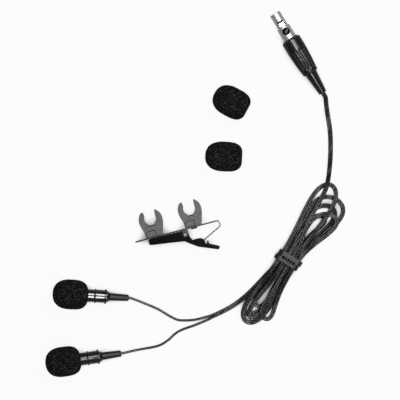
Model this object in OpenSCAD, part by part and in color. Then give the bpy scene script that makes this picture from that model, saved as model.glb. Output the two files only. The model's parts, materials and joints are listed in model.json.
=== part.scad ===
// Dual lavalier microphone kit: two small microphones on one twin lead with a
// locking four-pole plug, a tie clip with two swivelling holders, and two spare
// foam windscreens, all lying on a table at z = 0. Millimetres, +Z up.

/* [Microphone] */
// Outer diameter of the microphone barrel
barrel_d = 7.6; // [6.8:0.1:8.4]
// Wall of the barrel's two shells
barrel_wall = 0.6; // [0.5:0.05:0.7]
// Length of the front shell, sound opening to joint ring
front_shell_len = 15.7; // [14.5:0.1:17]
// Diameter of the sound opening
sound_opening_d = 5; // [4:0.1:5.4]
// Thickness of the front lip round the sound opening
front_lip = 0.8; // [0.6:0.1:1.2]
// Thickness of the perforated grille
grille_t = 0.4; // [0.3:0.05:0.6]
// Diameter of one hole in the grille
grille_hole_d = 0.6; // [0.4:0.05:0.7]
// Length of the capsule
capsule_len = 4; // [3:0.1:5]
// Thickness of the rubber gasket behind the capsule
gasket_t = 0.8; // [0.6:0.1:1.2]
// Diameter of the raised ring between the shells
joint_ring_d = 8.5; // [8.2:0.1:9]
// Width of the raised ring
joint_ring_w = 1; // [0.8:0.1:1.4]
// Length of the ring's spigot into each shell
spigot_len = 1.6; // [1:0.1:2.4]
// Length of the rear shell's straight tube
rear_tube_len = 5.3; // [4.5:0.1:6.5]
// Diameter of the flange at the rear of the barrel
flange_d = 8.8; // [8.4:0.1:9.2]
// Width of that flange
flange_w = 0.9; // [0.7:0.1:1.3]
// Length of the cone behind the flange
cone_len = 2; // [1.5:0.1:3]
// Diameter of the cone's small end
cone_end_d = 5.2; // [5:0.1:5.8]

/* [Strain relief] */
// Diameter of the rubber sleeve at the barrel
relief_d = 4.6; // [4.2:0.1:4.9]
// Diameter of the sleeve's free end
relief_end_d = 3.8; // [3.2:0.1:4.1]
// Length of the sleeve outside the barrel
relief_len = 11.6; // [9:0.1:14]

/* [Windscreens] */
// Diameter of a foam windscreen
windscreen_d = 17.8; // [16:0.1:20]
// Length of the windscreen on a microphone
windscreen_len = 21; // [19.5:0.1:23]
// Length of a spare windscreen
spare_len = 22.2; // [20:0.1:24]
// Depth of the blind bore in a windscreen
windscreen_bore_len = 12; // [11:0.1:14]

/* [Plug] */
// Diameter of the bright nose
nose_d = 6.6; // [6.4:0.1:7]
// Length of the nose
nose_len = 9.4; // [8.5:0.1:10.5]
// Diameter of the body behind the nose
body_d = 8.1; // [7.8:0.1:8.6]
// Wall of the nose
nose_wall = 0.55; // [0.45:0.05:0.65]
// Visible length of the body, nose to collar
body_len = 8; // [7.4:0.1:9]
// Width of the latch window
window_w = 4.4; // [3.6:0.1:4.5]
// Length of the latch window
window_len = 3.4; // [3:0.1:3.8]
// Diameter of the latch button
button_d = 4.6; // [4:0.1:5]
// Travel of the latch button
button_travel = 0.7; // [0.4:0.05:0.7]
// Greatest diameter of the collar
collar_d = 11.8; // [11:0.1:12.6]
// Diameter at the rear end of the collar
collar_end_d = 9.3; // [9:0.1:10]
// Length of the collar
collar_len = 24; // [22:0.1:26]
// Length of the plain front band of the collar
collar_band = 6.4; // [5:0.1:8]
// Number of flutes round the collar
flute_count = 16; // [10:1:18]
// Diameter of the flex boot at the collar
boot_d = 7.4; // [6.8:0.1:8]
// Diameter of the boot's free end
boot_end_d = 4.9; // [4.6:0.1:5.6]
// Length of the boot outside the collar
boot_len = 14; // [12:0.1:16]

/* [Cable] */
// Diameter of one insulated strand
strand_d = 1.4; // [1.2:0.05:1.4]
// Step from one cable to the next across the waist of the hank
waist_step = 3.3; // [3.3:0.01:3.4]
// Step from one layer of the hank to the next
layer_step = 2; // [1.98:0.01:2.05]

/* [Cable tie] */
// Width of one wrap of the tie
wrap_w = 3.3; // [3:0.1:3.6]
// Thickness of the tie
tie_t = 1.2; // [1:0.1:1.5]
// Sideways offset between the two wraps
wrap_shift = 0.6; // [0.4:0.1:0.9]
// Number of slots in the tie
slot_count = 5; // [3:1:6]

/* [Tie clip] */
// Width of the clip's bar
bar_w = 8; // [7.6:0.1:9]
// Thickness of the bar and of its spring leg
bar_t = 0.8; // [0.6:0.05:0.9]
// Length of the bar ahead of the jaw's pin
bar_front = 29.9; // [28:0.1:32]
// Length of the bar behind the pin, to the bend
bar_rear = 19.6; // [18.5:0.1:21]
// Centre-line radius of the bend
bend_r = 2.1; // [1.8:0.05:2.3]
// Width of the spring leg
leg_w = 6; // [4:0.1:7]
// Length of the jaw ahead of its pin
jaw_front_len = 22.3; // [21:0.1:23.5]
// Length of the jaw's tail behind its pin
jaw_tail_len = 18.1; // [17.6:0.1:19]
// Depth of the tail's end below the bar
jaw_tail_drop = 16.7; // [16.2:0.1:17.4]
// Outer width of the jaw
jaw_w = 6.2; // [5.6:0.1:6.2]
// Sheet thickness of the jaw
jaw_t = 0.6; // [0.5:0.05:0.7]
// Number of teeth on each side of the jaw
tooth_count = 10; // [6:1:14]
// Depth of the teeth
tooth_depth = 0.6; // [0.4:0.05:0.8]
// Diameter of the jaw's pin
pin_d = 1.6; // [1.4:0.05:1.8]
// Distance of the pin below the middle of the bar
pin_drop = 3.2; // [3:0.05:3.5]

/* [Microphone holders] */
// Diameter of the seat that grips a barrel
seat_d = 7.3; // [7:0.1:7.4]
// Greatest width of a holder
holder_w = 13.8; // [13.2:0.1:14.4]
// Height of a holder above the bar
holder_h = 15.5; // [15:0.1:16]
// Thickness of a holder
holder_t = 5; // [4:0.1:6]
// Height of the slot's flat floor above the bar
floor_h = 6.3; // [6:0.1:6.5]
// Diameter of the holder's rivet
rivet_d = 2.5; // [2.2:0.1:2.7]
// Diameter of the rivet's two heads
rivet_head_d = 3.7; // [3.4:0.1:4]
// Distance of the front holder ahead of the jaw's pin
front_holder_x = 18.2; // [17.5:0.1:19]
// Distance of the rear holder behind the jaw's pin
rear_holder_x = 5.9; // [5.5:0.1:7]

/* [Hidden] */

$fn = 64;
black = [0.05, 0.05, 0.05];
rubber = [0.13, 0.13, 0.13];
chrome = [0.8, 0.8, 0.82];
grey = [0.42, 0.42, 0.43];

// Clearances: a running or sliding fit, a seated piece, and a cut's overshoot
running = 0.05;
seated = 0.03;
soft_gap = 0.3;
past = 1;

// ---- places on the table ----
mic_a_at = [-46, -37.9];
mic_a_yaw = -4.1;
mic_b_at = [-50.3, -78];
mic_b_yaw = 7.3;
plug_tip_at = [75.8, 129.5];
plug_yaw = -58.5;
hank_at = [83.9, -17.5];
hank_yaw = 57.5;
clip_at = [21.8, 0.8];
clip_yaw = 14.7;
clip_lean = 3;
spare_a_at = [49.7, 76.8];
spare_a_yaw = -28;
spare_b_at = [45.4, 44.2];
spare_b_yaw = -3;
split_at = [40.8, -50.4];
split_yaw = 24;

// ---- small tools ----
function unit(v) = v / norm(v);
function mix(a, b, t) = a + (b - a) * t;
function ease(t) = let(c = min(1, max(0, t))) c * c * (3 - 2 * c);

// A revolved solid along +X, from [x, radius] points
module lathe(points, fn = $fn)
    rotate([0, 90, 0])
        rotate_extrude($fn = fn)
            polygon([for (q = points) [q[1], q[0]]]);

// A point on a smooth curve through four points, t from 0 at b to 1 at c
function curve_at(a, b, c, d, t) =
    0.5 * (2 * b + (c - a) * t + (2 * a - 5 * b + 4 * c - d) * t * t
        + (3 * b - a - 3 * c + d) * t * t * t);

// An open curve through points, with steps parts to each span; both ends are straight
function smooth_path(points, steps) =
    let(last = len(points) - 1)
    [for (i = [0:last - 1], j = [0:steps - 1])
        i == 0 || i == last - 1
            ? mix(points[i], points[i + 1], j / steps)
            : curve_at(points[i - 1], points[i], points[i + 1], points[i + 2], j / steps),
        points[last]];

// A tube of one section, swept along a path that stays nearly level
module swept_tube(path, section) {
    last = len(path) - 1;
    m = len(section);
    function heading(i) = unit(path[min(last, i + 1)] - path[max(0, i - 1)]);
    rings = [for (i = [0:last])
        let(t = heading(i), side = unit(cross(t, [0, 0, 1])), up = cross(side, t))
        for (q = section) path[i] + side * q[0] + up * q[1]];
    caps = [path[0], path[last]];
    walls = [for (i = [0:last - 1], k = [0:m - 1])
        let(a = i * m + k, b = i * m + (k + 1) % m)
        for (f = [[a, a + m, b], [b, a + m, b + m]]) f];
    ends = [for (k = [0:m - 1]) for (f = [
        [(last + 1) * m, k, (k + 1) % m],
        [(last + 1) * m + 1, last * m + (k + 1) % m, last * m + k]]) f];
    polyhedron(concat(rings, caps), concat(walls, ends));
}

// ---- microphone: x = 0 at the rear face of its windscreen, +x to the cable ----
barrel_r = barrel_d / 2;
shell_bore = barrel_r - barrel_wall;
barrel_front = seated * 10 - windscreen_bore_len;
ring_x = barrel_front + front_shell_len;
rear_x = ring_x + joint_ring_w;
flange_x = rear_x + rear_tube_len;
cone_x = flange_x + flange_w;
relief_x = cone_x + cone_len;
relief_end_x = relief_x + relief_len;
grille_x = barrel_front + front_lip;
capsule_x = grille_x + grille_t;
gasket_x = capsule_x + capsule_len;
relief_bore = relief_end_d / 2;
anchor_len = 1.2;
windscreen_bore_r = barrel_r + running;

// The foam is blunt at the bored end and rounder at the front
foam_blunt = 3.2;
foam_round = 2.4;
foam_steps = 24;
function foam_profile(length) =
    [for (i = [0:foam_steps])
        let(t = 180 * i / foam_steps, e = 2 / (t < 90 ? foam_blunt : foam_round))
        [length / 2 * sign(cos(t)) * pow(abs(cos(t)), e),
            windscreen_d / 2 * pow(sin(t), e)]];

// The microphone leans on its foam and on the end of its strain relief
lean_reach = windscreen_len / 2 + relief_end_x;
function foam_drop(lean) =
    max([for (q = foam_profile(windscreen_len)) q[1] * cos(lean) + q[0] * sin(lean)]);
function lean_of(lean) =
    asin((foam_drop(lean) - relief_end_d / 2 * cos(lean)) / lean_reach);
mic_lean = lean_of(lean_of(lean_of(lean_of(12))));

module at_mic(at, yaw)
    translate([at[0], at[1], foam_drop(mic_lean)])
        rotate([0, mic_lean, yaw])
            translate([windscreen_len / 2, 0, 0])
                children();

function mic_point(at, yaw, x) =
    let(reach = windscreen_len / 2 + x)
    [at[0] + reach * cos(mic_lean) * cos(yaw), at[1] + reach * cos(mic_lean) * sin(yaw),
        foam_drop(mic_lean) - reach * sin(mic_lean)];

module foam(length)
    translate([-length / 2, 0, 0])
        difference() {
            lathe(foam_profile(length));
            translate([length / 2 - windscreen_bore_len, 0, 0])
                rotate([0, 90, 0])
                    cylinder(r = windscreen_bore_r, h = windscreen_bore_len + past);
        }

module windscreen() color(black) foam(windscreen_len);

module front_shell()
    color(black)
        lathe([
            [barrel_front, sound_opening_d / 2], [barrel_front, barrel_r - 0.4],
            [barrel_front + 0.4, barrel_r], [ring_x, barrel_r], [ring_x, shell_bore],
            [grille_x, shell_bore], [grille_x, sound_opening_d / 2]
        ]);

// Holes in rings of six round a centre hole
module grille()
    color(chrome)
        difference() {
            translate([grille_x, 0, 0])
                rotate([0, 90, 0])
                    cylinder(r = shell_bore - seated, h = grille_t);
            for (ring = [0:2], k = [0:max(0, ring * 6 - 1)])
                rotate([ring == 0 ? 0 : k * 60 / ring, 0, 0])
                    translate([grille_x - past, 0, ring * sound_opening_d / 6])
                        rotate([0, 90, 0])
                            cylinder(d = grille_hole_d, h = grille_t + 2 * past, $fn = 16);
        }

module capsule()
    color([0.6, 0.6, 0.58])
        lathe([
            [capsule_x, 0], [capsule_x, shell_bore - seated - 0.2],
            [capsule_x + 0.2, shell_bore - seated],
            [gasket_x, shell_bore - seated], [gasket_x, 0]
        ]);

module gasket()
    color(rubber)
        lathe([
            [gasket_x, shell_bore / 2], [gasket_x, shell_bore - seated],
            [gasket_x + gasket_t, shell_bore - seated], [gasket_x + gasket_t, shell_bore / 2]
        ]);

module joint_ring()
    color(black)
        lathe([
            [ring_x - spigot_len, shell_bore - barrel_wall],
            [ring_x - spigot_len, shell_bore - seated], [ring_x, shell_bore - seated],
            [ring_x, joint_ring_d / 2 - 0.2], [ring_x + 0.2, joint_ring_d / 2],
            [rear_x - 0.2, joint_ring_d / 2], [rear_x, joint_ring_d / 2 - 0.2],
            [rear_x, shell_bore - seated], [rear_x + spigot_len, shell_bore - seated],
            [rear_x + spigot_len, shell_bore - barrel_wall]
        ]);

module rear_shell()
    color(black)
        lathe([
            [rear_x, shell_bore], [rear_x, barrel_r], [flange_x, barrel_r],
            [flange_x, flange_d / 2 - 0.2], [flange_x + 0.2, flange_d / 2],
            [cone_x - 0.2, flange_d / 2], [cone_x, flange_d / 2 - 0.2],
            [cone_x, barrel_r - 0.3], [relief_x, cone_end_d / 2],
            [relief_x, relief_bore + seated], [flange_x, relief_bore + seated],
            [flange_x, shell_bore]
        ]);

module strain_relief()
    color(rubber)
        lathe([
            [flange_x - anchor_len, 0], [flange_x - anchor_len, relief_bore + barrel_wall],
            [flange_x - seated, relief_bore + barrel_wall], [flange_x - seated, relief_bore],
            [relief_x + seated, relief_bore], [relief_x + seated, relief_d / 2],
            [relief_end_x - 0.5, relief_end_d / 2], [relief_end_x, relief_end_d / 2 - 0.5],
            [relief_end_x, 0]
        ]);

// ---- plug: x = 0 at the tip of the nose, +x to the cable, +z is the button's side ----
collar_x = nose_len + body_len;
collar_bevel = 1.2;
band_end_x = collar_x + collar_bevel + collar_band;
collar_end_x = collar_x + collar_len;
collar_mid_x = mix(band_end_x, collar_end_x, 0.5);
collar_mid_r = mix(collar_d, collar_end_d, 0.35) / 2;
boot_end_x = collar_end_x + boot_len;
nose_bore = nose_d / 2 - nose_wall;
body_bore = body_d / 2 - nose_wall;
body_tail = 4;
plug_lean = atan((collar_d / 2 - collar_mid_r) / (collar_mid_x - band_end_x));
plug_lift = collar_d / 2 * cos(plug_lean) + band_end_x * sin(plug_lean);
window_x = nose_len - 0.8 - window_len;
button_x = nose_len + 3.1;
button_r = button_d / 2;
latch_t = 0.4;
latch_z = nose_bore - 1;
latch_w = 3;
tooth_len = 2;
// The tooth's top corners stay just inside the nose
tooth_top = sqrt(pow(nose_d / 2, 2) - pow(latch_w / 2, 2)) - running * 2;
contact_ring_r = 1.2;
contact_d = 0.9;
contact_count = 4;
collar_hole_r = 3;
collar_rear_wall = 2.6;

module at_plug()
    translate([plug_tip_at[0], plug_tip_at[1], plug_lift])
        rotate([0, plug_lean, plug_yaw])
            children();

function plug_point(x) =
    [plug_tip_at[0] + x * cos(plug_lean) * cos(plug_yaw),
        plug_tip_at[1] + x * cos(plug_lean) * sin(plug_yaw), plug_lift - x * sin(plug_lean)];

module plug_shell()
    color(chrome)
        difference() {
            lathe([
                [0, nose_bore], [0, nose_d / 2 - 0.2], [0.2, nose_d / 2],
                [nose_len, nose_d / 2], [nose_len, body_d / 2 - 0.3],
                [nose_len + 0.3, body_d / 2], [collar_x + body_tail, body_d / 2],
                [collar_x + body_tail, body_bore], [nose_len + nose_wall, body_bore],
                [nose_len + nose_wall, nose_bore]
            ]);
            translate([window_x, -window_w / 2, latch_z])
                cube([window_len, window_w, nose_d]);
            translate([button_x, 0, 0])
                cylinder(r = button_r + running, h = body_d);
        }

module plug_insert() {
    latch_room = latch_z - button_travel - running * 2;
    color(black)
        difference() {
            lathe([
                [1, 0], [1, nose_bore - seated],
                [nose_len + nose_wall + seated, nose_bore - seated],
                [nose_len + nose_wall + seated, body_bore - seated],
                [collar_x + body_tail, body_bore - seated], [collar_x + body_tail, 0]
            ]);
            translate([window_x - past, -body_d / 2, latch_room])
                cube([collar_x - window_x + past * 2, body_d, body_d]);
            for (k = [0:contact_count - 1])
                rotate([45 + k * 360 / contact_count, 0, 0])
                    translate([-past, 0, contact_ring_r])
                        rotate([0, 90, 0])
                            cylinder(d = contact_d + 2 * seated, h = 5.5, $fn = 24);
        }
}

module plug_contacts()
    color([0.8, 0.7, 0.4])
        for (k = [0:contact_count - 1])
            rotate([45 + k * 360 / contact_count, 0, 0])
                translate([1, 0, contact_ring_r])
                    rotate([0, 90, 0])
                        difference() {
                            cylinder(d = contact_d, h = 3.4, $fn = 24);
                            translate([0, 0, -past])
                                cylinder(d = contact_d - 0.35, h = 3 + past, $fn = 24);
                        }

module plug_latch() {
    strip_x = window_x + window_len - tooth_len;
    color(chrome)
        translate([strip_x, -latch_w / 2, latch_z]) {
            cube([button_x + button_r - strip_x, latch_w, latch_t]);
            cube([tooth_len - running * 2, latch_w, tooth_top - latch_z]);
        }
}

module plug_button() {
    stem_z = latch_z + latch_t;
    rim_z = body_d / 2 + button_travel;
    color(black)
        translate([button_x, 0, 0])
            rotate_extrude()
                polygon([
                    [0, stem_z], [button_r, stem_z], [button_r, rim_z - 0.5],
                    [button_r - 0.35, rim_z - 0.15], [button_r * 0.6, rim_z + 0.1],
                    [0, rim_z + 0.2]
                ]);
}

// A fluted sleeve that swells to its plain front band
module plug_collar() {
    flute_d = 1.1;
    flute_len = collar_end_x - band_end_x - collar_rear_wall;
    flute_slope = atan((collar_d - collar_end_d) / 2 / (collar_end_x - band_end_x));
    color(black)
        difference() {
            lathe([
                [collar_x, body_d / 2 + seated], [collar_x, body_d / 2 + 0.5],
                [collar_x + collar_bevel, collar_d / 2], [band_end_x, collar_d / 2],
                [collar_mid_x, collar_mid_r], [collar_end_x - 0.3, collar_end_d / 2],
                [collar_end_x, collar_end_d / 2 - 0.3], [collar_end_x, collar_hole_r + seated],
                [collar_end_x - collar_rear_wall, collar_hole_r + seated],
                [collar_end_x - collar_rear_wall, body_d / 2 + seated]
            ]);
            for (k = [0:flute_count - 1])
                rotate([(k + 0.5) * 360 / flute_count, 0, 0])
                    translate([band_end_x, 0, collar_d / 2 + flute_d / 4])
                        rotate([0, 90 + flute_slope, 0])
                            cylinder(d = flute_d, h = flute_len, $fn = 24);
        }
}

module plug_cable_clamp() {
    clamp_x = collar_x + body_tail + seated;
    clamp_end_x = collar_end_x - collar_rear_wall - anchor_len - seated * 2;
    color(chrome)
        lathe([
            [clamp_x, collar_hole_r], [clamp_x, body_d / 2],
            [clamp_end_x, body_d / 2], [clamp_end_x, collar_hole_r]
        ]);
}

module plug_boot() {
    neck_x = collar_end_x - collar_rear_wall - seated;
    color(black)
        lathe([
            [neck_x - anchor_len, 0], [neck_x - anchor_len, body_d / 2],
            [neck_x, body_d / 2], [neck_x, collar_hole_r],
            [collar_end_x + seated, collar_hole_r], [collar_end_x + seated, boot_d / 2],
            [boot_end_x, boot_end_d / 2], [boot_end_x, 0]
        ]);
}

// ---- cable ----
twin_w = 2 * strand_d;
strand_r = strand_d / 2;
strand_section = [for (k = [0:7]) strand_r * [cos(k * 45), sin(k * 45)]];
twin_section = [
    [twin_w / 2, 0], [twin_w / 4, strand_r], [0, strand_r * 0.6],
    [-twin_w / 4, strand_r], [-twin_w / 2, 0], [-twin_w / 4, -strand_r],
    [0, -strand_r * 0.6], [twin_w / 4, -strand_r]
];
hank_section = [
    [twin_w / 2, 0], [twin_w / 4, strand_r], [-twin_w / 4, strand_r],
    [-twin_w / 2, 0], [-twin_w / 4, -strand_r], [twin_w / 4, -strand_r]
];

// The hank: eleven passes through its waist, joined by folds at the lower (-a)
// and upper (+a) end in turn, piled from the top layer down. Four columns wide.
column = [0.5, 1.5, -0.5, 1, -1.5, 1.5, -0.5, 0.5, -0.5, 1.5, -1.5];
fold_layer = [3, 3, 2, 2, 1, 1, 1, 0, 0, 0];
// How far each fold reaches from the waist, how far it leans right, its swell at
// the end, and how long it stays narrow before that
fold_reach = [37, 36.5, 41, 51.5, 44.5, 46, 33, 33, 40.5, 40.5];
fold_lean = [3.2, 6.8, -0.5, -1, -1.2, 3.5, -0.9, 3.7, -5.5, 5];
fold_swell = [11, 15, 11, 15, 13.5, 22, 9.5, 10.5, 11, 15];
fold_neck = [4, 2, 3, 2, 2, 2, 4, 4, 2, 2];
fold_steps = 12;
// A layer is climbed within this reach of the waist, and the tie's lift fades by that
climb_reach = 26;
lift_reach = 34;
top_layer = 3;
waist_lift = tie_t + soft_gap;
hank_lead = 7;

function layer_of(k) = k < 0 ? top_layer : k > 9 ? 0 : fold_layer[k];

// A point on fold k, turned through angle t from its first pass to its next
function fold_point(k, t) =
    let(
        from = column[k] * waist_step,
        to = column[k + 1] * waist_step,
        out = sin(t) * sin(t),
        swell = sign(from - to) * fold_swell[k],
        half = mix((from - to) / 2, swell, pow(sin(t), fold_neck[k])),
        beside = layer_of(t < 90 ? k - 1 : k + 1),
        along = fold_reach[k] * sin(t),
        climb = 0.5 * (1 - ease(along / climb_reach)),
        layer = mix(layer_of(k), beside, climb)
    )
    [(k % 2 == 0 ? -1 : 1) * along,
        (from + to) / 2 + fold_lean[k] * out + half * cos(t),
        strand_r + layer * layer_step + waist_lift * (1 - ease(along / lift_reach))];

function hank_path(steps) =
    let(
        high = strand_r + top_layer * layer_step + waist_lift,
        low = strand_r + waist_lift,
        first = column[0] * waist_step,
        final = column[10] * waist_step
    )
    concat(
        [[hank_lead, first, high], [hank_lead - twin_w, first, high]],
        [for (k = [0:9], j = [0:steps - 1]) fold_point(k, 180 * j / steps)],
        [[0, final, low], [twin_w - hank_lead, final, low], [-hank_lead, final, low]]
    );

// The hank's own frame (along, right, up) set down on the table
function on_table(p) =
    [hank_at[0] + p[0] * cos(hank_yaw) + p[1] * sin(hank_yaw),
        hank_at[1] + p[0] * sin(hank_yaw) - p[1] * cos(hank_yaw), p[2]];

hank_points = [for (p = hank_path(fold_steps)) on_table(p)];

// Least clear gap of the hank to itself: beside it or above it, whichever is more
gap_path = hank_path(2 * fold_steps);
hank_gap = min([for (i = [0:len(gap_path) - 1])
    for (j = [i + 8:1:len(gap_path) - 1])
        let(d = gap_path[j] - gap_path[i])
            max(norm([d[0], d[1]]) - twin_w, abs(d[2]) - strand_d)]);
echo("least gap of the hank to itself, mm", hank_gap);

hank_start = hank_points[0];
hank_end = hank_points[len(hank_points) - 1];
hank_dir = [cos(hank_yaw), sin(hank_yaw), 0];
boot_end = plug_point(boot_end_x);
boot_dir = unit(plug_point(boot_end_x + 1) - boot_end);
split_dir = [cos(split_yaw), sin(split_yaw), 0];
split_side = [-sin(split_yaw), cos(split_yaw), 0];
split_point = [split_at[0], split_at[1], strand_r];

// Routes of the free stretches, in table coordinates
plug_run_route = concat(
    [boot_end, boot_end + boot_dir * twin_w],
    [
        [107.2, 72.3, 2], [109.1, 60.3, 0.95], [109.5, 48.3, 0.95], [108.6, 36, 3.2],
        [106.6, 26, 7.2], [102.9, 18.5, 9], [99, 11.5, 9.3], [95.6, 5, 9.2],
        [92.6, -3, 8.6]
    ],
    [hank_start + hank_dir * twin_w, hank_start]
);
split_run_route = concat(
    [hank_end, hank_end - hank_dir * twin_w],
    [
        [71.8, -25.6, 1.5], [65.9, -32, 0.85], [59, -38.9, 0.75], [52.1, -44.3, 0.7],
        [46, -47.9, 0.7]
    ],
    [split_point]
);
function mic_lead(at, yaw, route, side) =
    let(exit = mic_point(at, yaw, relief_end_x), after = mic_point(at, yaw, relief_end_x + strand_d))
    concat([exit, after], route,
        [for (back = [2, 0]) split_point + split_side * side * strand_r - split_dir * back]);
lead_a_route = mic_lead(mic_a_at, mic_a_yaw, [
    [-3, -43.3, 0.9], [5.9, -47.1, 0.75], [12.8, -51.2, 0.7], [17.6, -53.5, 0.7],
    [21.8, -53.9, 0.7], [28, -53.5, 0.7], [34.5, -51.9, 0.7]
], 1);
lead_b_route = mic_lead(mic_b_at, mic_b_yaw, [
    [-6.5, -71.6, 0.9], [5.9, -69.2, 0.75], [12.1, -65.7, 0.7], [16.3, -61.9, 0.7],
    [20.4, -59.5, 0.7], [28, -56.8, 0.7], [34.9, -54, 0.7]
], -1);

module cable_a() color(rubber) swept_tube(smooth_path(lead_a_route, 2), strand_section);

module cable_b() color(rubber) swept_tube(smooth_path(lead_b_route, 2), strand_section);

module cable_split_run()
    color(rubber) swept_tube(smooth_path(split_run_route, 2), twin_section);

module cable_plug_run()
    color(rubber) swept_tube(smooth_path(plug_run_route, 2), twin_section);

module cable_hank() color(rubber) swept_tube(hank_points, hank_section);

// Two wraps of a rubber strap round the waist, joined by a slotted ladder
module cable_tie() {
    waist_w = 3 * waist_step + twin_w + 2 * soft_gap;
    waist_h = top_layer * layer_step + strand_d + 2 * soft_gap;
    corner = 1.6;
    slot_w = 0.9;
    module rounded(w, h, r)
        union() {
            square([w - 2 * r, h], center = true);
            square([w, h - 2 * r], center = true);
            for (x = [-1, 1], y = [-1, 1])
                translate([x * (w / 2 - r), y * (h / 2 - r)])
                    circle(r = r, $fn = 32);
        }
    module wrap(length, shift)
        linear_extrude(length)
            difference() {
                translate([shift, 0])
                    rounded(waist_w + 2 * tie_t, waist_h + 2 * tie_t, corner + tie_t);
                rounded(waist_w + 2 * abs(shift), waist_h, corner);
            }
    color(rubber)
        translate([hank_at[0], hank_at[1], tie_t + waist_h / 2])
            rotate([0, 0, hank_yaw])
                rotate([90, 0, 90])
                    difference() {
                        union() {
                            translate([0, 0, -wrap_w])
                                wrap(wrap_w, wrap_shift / 2);
                            wrap(wrap_w, -wrap_shift / 2);
                        }
                        for (k = [0:slot_count - 1])
                            translate([(k - (slot_count - 1) / 2) * slot_w * 2, waist_h / 2, 0])
                                translate([-slot_w / 2, -0.1, -slot_w])
                                    cube([slot_w, tie_t + past, slot_w * 1.6]);
                    }
}

// ---- tie clip: x along the bar from the jaw's pin, y up to the holders, z across ----
bar_half = bar_t / 2;
bar_top = bar_half;
leg_turn = 154.3;
leg_len = 11;
leg_tip_len = 2;
leg_yaw = 180 - leg_turn;
leg_from = [bar_rear + bend_r * sin(leg_turn), bend_r * cos(leg_turn) - bend_r];
leg_to = leg_from - leg_len * [cos(leg_yaw), sin(leg_yaw)];
leg_tip = leg_to - [0.1, leg_tip_len];
lug_t = 0.6;
pin_r = pin_d / 2;
pin_half = bar_w / 2 + (bar_front - pin_r) * tan(clip_lean);
jaw_gap = 0.08;
holder_gap = 0.1;
clip_low = bar_w / 2 * cos(clip_lean) + bar_front * sin(clip_lean);

module at_clip()
    translate([clip_at[0], clip_at[1], clip_low])
        rotate([0, 0, clip_yaw])
            rotate([0, -clip_lean, 0])
                children();

// A flat outline in the clip's side view, made width wide about the middle
module across(width, middle = 0)
    translate([0, 0, middle - width / 2])
        linear_extrude(width)
            children();

module clip_bar() {
    lug_r = pin_r + 0.7;
    lug_mid = bar_w / 2 - lug_t / 2;
    color(chrome)
        difference() {
            union() {
                across(bar_w)
                    translate([-bar_front, -bar_half])
                        square([bar_front + bar_rear, bar_t]);
                for (side = [-1, 1])
                    across(lug_t, side * lug_mid) {
                        translate([-lug_r, -pin_drop])
                            square([2 * lug_r, pin_drop - bar_half + 0.01]);
                        translate([0, -pin_drop])
                            circle(r = lug_r);
                    }
            }
            translate([0, -pin_drop, -bar_w])
                cylinder(r = pin_r, h = 2 * bar_w);
            for (x = [-front_holder_x, rear_holder_x])
                translate([x, -bar_t, 0])
                    rotate([-90, 0, 0])
                        cylinder(d = rivet_d, h = 2 * bar_t);
        }
}

// The bar's bent end: half a turn, a straight leg, and a short tip turned down
module clip_spring() {
    module bar_between(from, to)
        translate(from)
            rotate(atan2(to[1] - from[1], to[0] - from[0]))
                translate([0, -bar_half])
                    square([norm(to - from), bar_t]);
    color(chrome)
        across(leg_w) {
            intersection() {
                translate([bar_rear, -bend_r])
                    difference() {
                        circle(r = bend_r + bar_half);
                        circle(r = bend_r - bar_half);
                    }
                translate([bar_rear, -bend_r])
                    polygon([
                        [0, 0], [0, 9], [9, 9], [9, -9],
                        9 * [sin(leg_turn), cos(leg_turn)]
                    ]);
            }
            bar_between(leg_from, leg_to);
            translate(leg_to)
                circle(r = bar_half, $fn = 24);
            bar_between(leg_to, leg_tip);
            translate(leg_tip)
                circle(r = bar_half, $fn = 24);
        }
}

module clip_pin()
    color(chrome)
        translate([0, -pin_drop, -pin_half])
            cylinder(r = pin_r, h = 2 * pin_half);

// Side view of the jaw: a toothed front, a waist at the pin and a pinch tail, with a
// notch that the tip of the spring's leg drops into
jaw_front_x = -jaw_front_len;
jaw_top = -bar_half - jaw_gap;
jaw_rest = -1.4;
function teeth() =
    let(pitch = (jaw_rest - jaw_front_x) / tooth_count)
    [for (k = [0:tooth_count - 1])
        for (p = [[0.5, 0], [1, -tooth_depth]])
            [jaw_rest - (k + p[0]) * pitch, jaw_top + p[1]]];
module jaw_side(toothed = true) {
    under = [
        [jaw_front_x, -3.5], [jaw_front_x + 0.7, -4.1], [jaw_front_x * 0.47, -5.6],
        [-1.3, -7], [1.4, -9.2], [5.8, -12.2]
    ];
    tail = [
        [jaw_tail_len - 1.1, -jaw_tail_drop], [jaw_tail_len, 1.3 - jaw_tail_drop],
        [jaw_tail_len - 1.3, 2.4 - jaw_tail_drop]
    ];
    notch = [for (p = [
        [1.8, -1.34], [1.5, 0.76], [1.1, 0.66], [0.7, -0.94], [-0.6, -0.54],
        [-0.9, 2.26], [-2.9, 3.36]
    ]) leg_tip + p];
    waist = [
        [4.6, -7.3], [3.2, -7.5], [2, -5.4], [1.7, -3.2], [1, -1.6],
        [jaw_rest, jaw_top - tooth_depth]
    ];
    front = toothed ? teeth() : [[jaw_front_x, jaw_top - tooth_depth]];
    polygon(concat(under, tail, notch, waist, front));
}

module clip_jaw() {
    wall_mid = (jaw_w - jaw_t) / 2;
    tail_w = bar_w;
    color(black)
        difference() {
            union() {
                for (side = [-1, 1])
                    across(jaw_t, side * wall_mid)
                        jaw_side();
                across(jaw_w)
                    difference() {
                        jaw_side(false);
                        translate([0, jaw_t * 1.3])
                            jaw_side(false);
                    }
                across(jaw_w)
                    intersection() {
                        jaw_side(false);
                        translate([jaw_front_x, -past * 9])
                            square([jaw_t, past * 9]);
                    }
                across(tail_w)
                    intersection() {
                        jaw_side(false);
                        translate([11.2, -20])
                            square([9, 20]);
                    }
            }
            translate([0, -pin_drop, -bar_w])
                cylinder(r = pin_r + running, h = 2 * bar_w);
        }
}

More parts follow.
